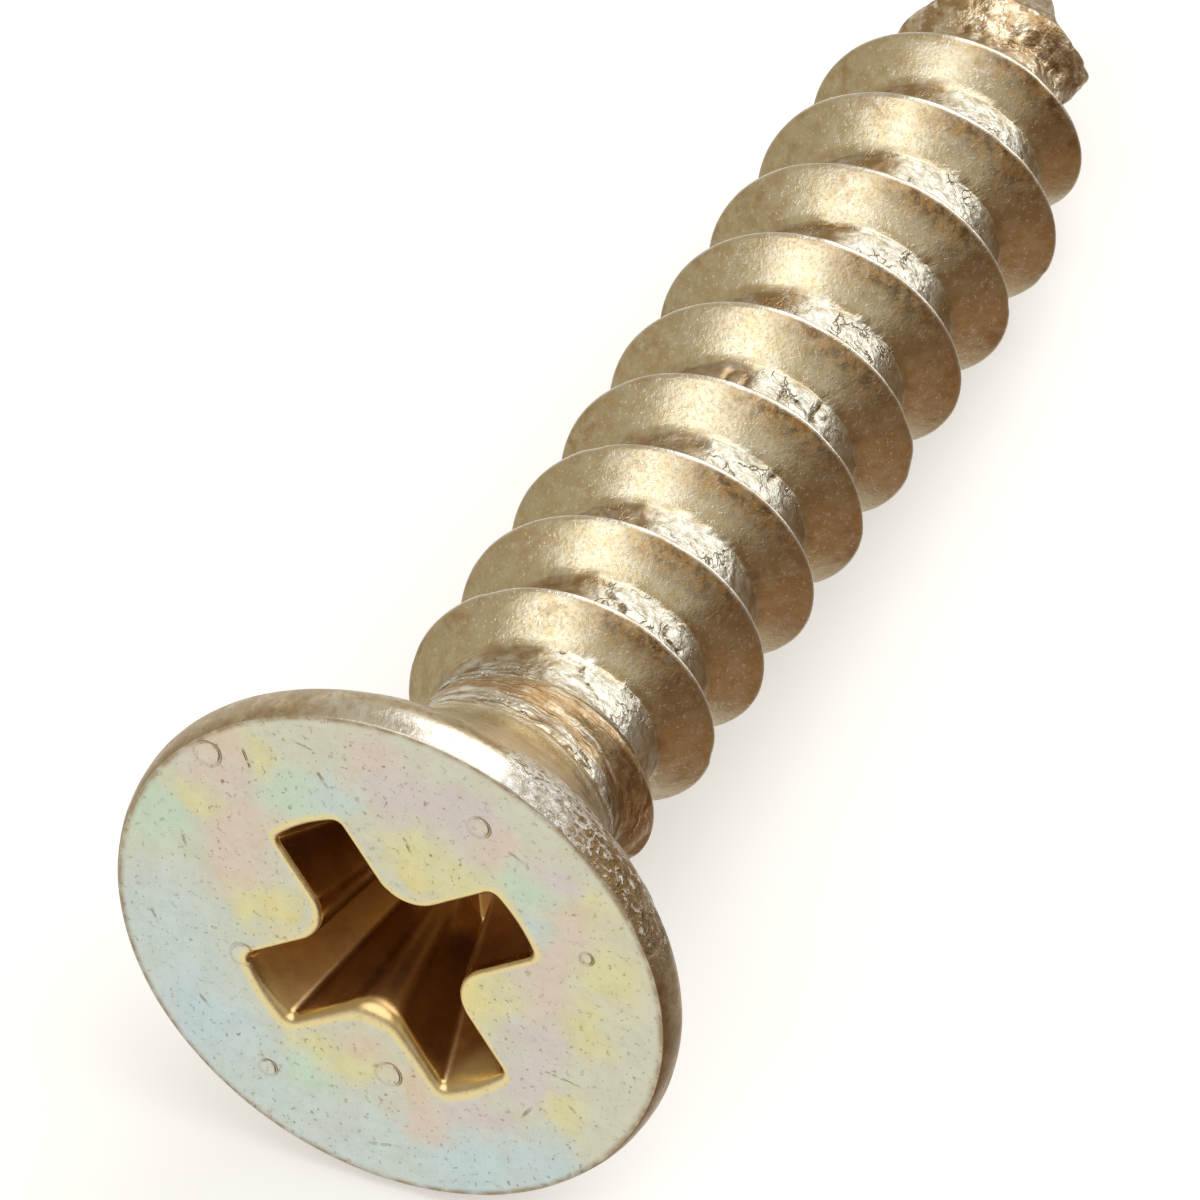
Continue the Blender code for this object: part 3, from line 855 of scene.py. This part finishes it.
# ---------------------------------------------------------------- stage
tilt = math.atan2(4.135 - 2.10, 16.2)
verts = []
for sx, sy in ((-1, -1), (1, -1), (1, 1), (-1, 1)):
    X, Y = sx * 3000.0, 0.55 + sy * 3000.0
    verts.append((X * MM, Y * MM, (-4.14 + math.tan(tilt) * (Y - 0.55)) * MM))
fm = bpy.data.meshes.new("floor")
fm.from_pydata(verts, [], [(0, 1, 2, 3)])
floor = bpy.data.objects.new("floor", fm)
bpy.context.scene.collection.objects.link(floor)
fmat = bpy.data.materials.new("floor_white")
fmat.use_nodes = True
fb = fmat.node_tree.nodes["Principled BSDF"]
fb.inputs["Base Color"].default_value = (0.8, 0.8, 0.8, 1.0)
fb.inputs["Roughness"].default_value = 0.9
fb.inputs["Emission Color"].default_value = (1.0, 1.0, 1.0, 1.0)
fb.inputs["Emission Strength"].default_value = 0.35
floor.data.materials.append(fmat)
floor.visible_glossy = False      # the metal mirrors the studio's soft boxes, also below the horizon

# ---------------------------------------------------------------- camera
right = np.array([0.91018415, 0.41420383, 0.0])
up = np.array([-0.2705216, 0.59445244, 0.75726109])
back = np.cross(right, up)
cam_data = bpy.data.cameras.new("camera")
cam = bpy.data.objects.new("camera", cam_data)
bpy.context.scene.collection.objects.link(cam)
m = Matrix.Identity(4)
for c, v in enumerate((right, up, back)):
    for r_ in range(3):
        m[r_][c] = v[r_]
pos = np.array([123.54276272, -264.61858504, 258.21554324]) * MM
for r_ in range(3):
    m[r_][3] = pos[r_]
cam.matrix_world = m
cam_data.sensor_width = 36.0
cam_data.lens = 867.234
cam_data.clip_start = 0.01
cam_data.clip_end = 20.0
bpy.context.scene.camera = cam

# ---------------------------------------------------------------- light
# The metal mirrors this studio: soft boxes as patches of the world, in azimuth from the front (-Y)
# towards +X, and elevation.  The camera itself sees plain white behind the floor.
world = bpy.data.worlds.new("studio")
bpy.context.scene.world = world
world.use_nodes = True
wt = world.node_tree
wt.nodes.clear()
wo = wt.nodes.new("ShaderNodeOutputWorld")
tc = wt.nodes.new("ShaderNodeTexCoord")


def lobe(az, el, inner_deg, outer_deg):
    """1 inside inner_deg of a direction, falling to 0 at outer_deg."""
    a, e = math.radians(az), math.radians(el)
    dot = wt.nodes.new("ShaderNodeVectorMath")
    dot.operation = "DOT_PRODUCT"
    wt.links.new(tc.outputs["Generated"], dot.inputs[0])
    dot.inputs[1].default_value = (math.cos(e) * math.sin(a), -math.cos(e) * math.cos(a), math.sin(e))
    mr = wt.nodes.new("ShaderNodeMapRange")
    mr.interpolation_type = "SMOOTHSTEP"
    mr.inputs["From Min"].default_value = math.cos(math.radians(outer_deg))
    mr.inputs["From Max"].default_value = math.cos(math.radians(inner_deg))
    wt.links.new(dot.outputs["Value"], mr.inputs["Value"])
    return mr.outputs["Result"]


LOBES = [
    (125, -30, 30, 60, (0.30, 0.25, 0.19)),       # dim back right, low
    (68, -30, 30, 54, (0.17, 0.105, 0.060)),      # dark, warm right side
    (72, -64, 12, 34, (0.27, 0.16, 0.09)),        # brown table edge
    (-24, -41, 18, 50, (0.97, 0.955, 0.94)),       # pale card below the front left
    (-160, -42, 12, 42, (0.72, 0.70, 0.66)),      # back left, low
    (-134, 4, 8, 32, (0.80, 0.78, 0.72)),         # back left
    (139, 25, 8, 30, (2.10, 2.08, 2.00)),         # back right
    (80, 72, 12, 34, (2.00, 2.00, 1.98)),         # overhead
    (176, 56, 8, 23, (2.00, 2.00, 1.95)),        # high behind, over the head's upper edge
    (36, 10, 3, 22, (0.62, 0.60, 0.53)),          # grey card on the right
    (-6, 35, 5, 31, (1.78, 1.80, 1.80)),          # main soft box
]
env = (0.44, 0.375, 0.275)
for az, el, inner, outer, value in LOBES:
    mx = wt.nodes.new("ShaderNodeMix")
    mx.data_type = "RGBA"
    wt.links.new(lobe(az, el, inner, outer), mx.inputs[0])
    if isinstance(env, tuple):
        mx.inputs[6].default_value = (*env, 1.0)
    else:
        wt.links.new(env, mx.inputs[6])
    mx.inputs[7].default_value = (*value, 1.0)
    env = mx.outputs[2]
bg = wt.nodes.new("ShaderNodeBackground")
wt.links.new(env, bg.inputs["Color"])
bg.inputs["Strength"].default_value = 1.0
bg_cam = wt.nodes.new("ShaderNodeBackground")
bg_cam.inputs["Color"].default_value = (1.0, 1.0, 1.0, 1.0)
bg_cam.inputs["Strength"].default_value = 1.0
lp = wt.nodes.new("ShaderNodeLightPath")
ms = wt.nodes.new("ShaderNodeMixShader")
wt.links.new(lp.outputs["Is Camera Ray"], ms.inputs[0])
wt.links.new(bg.outputs[0], ms.inputs[1])
wt.links.new(bg_cam.outputs[0], ms.inputs[2])
wt.links.new(ms.outputs[0], wo.inputs["Surface"])

bpy.context.scene.view_settings.view_transform = "Standard"
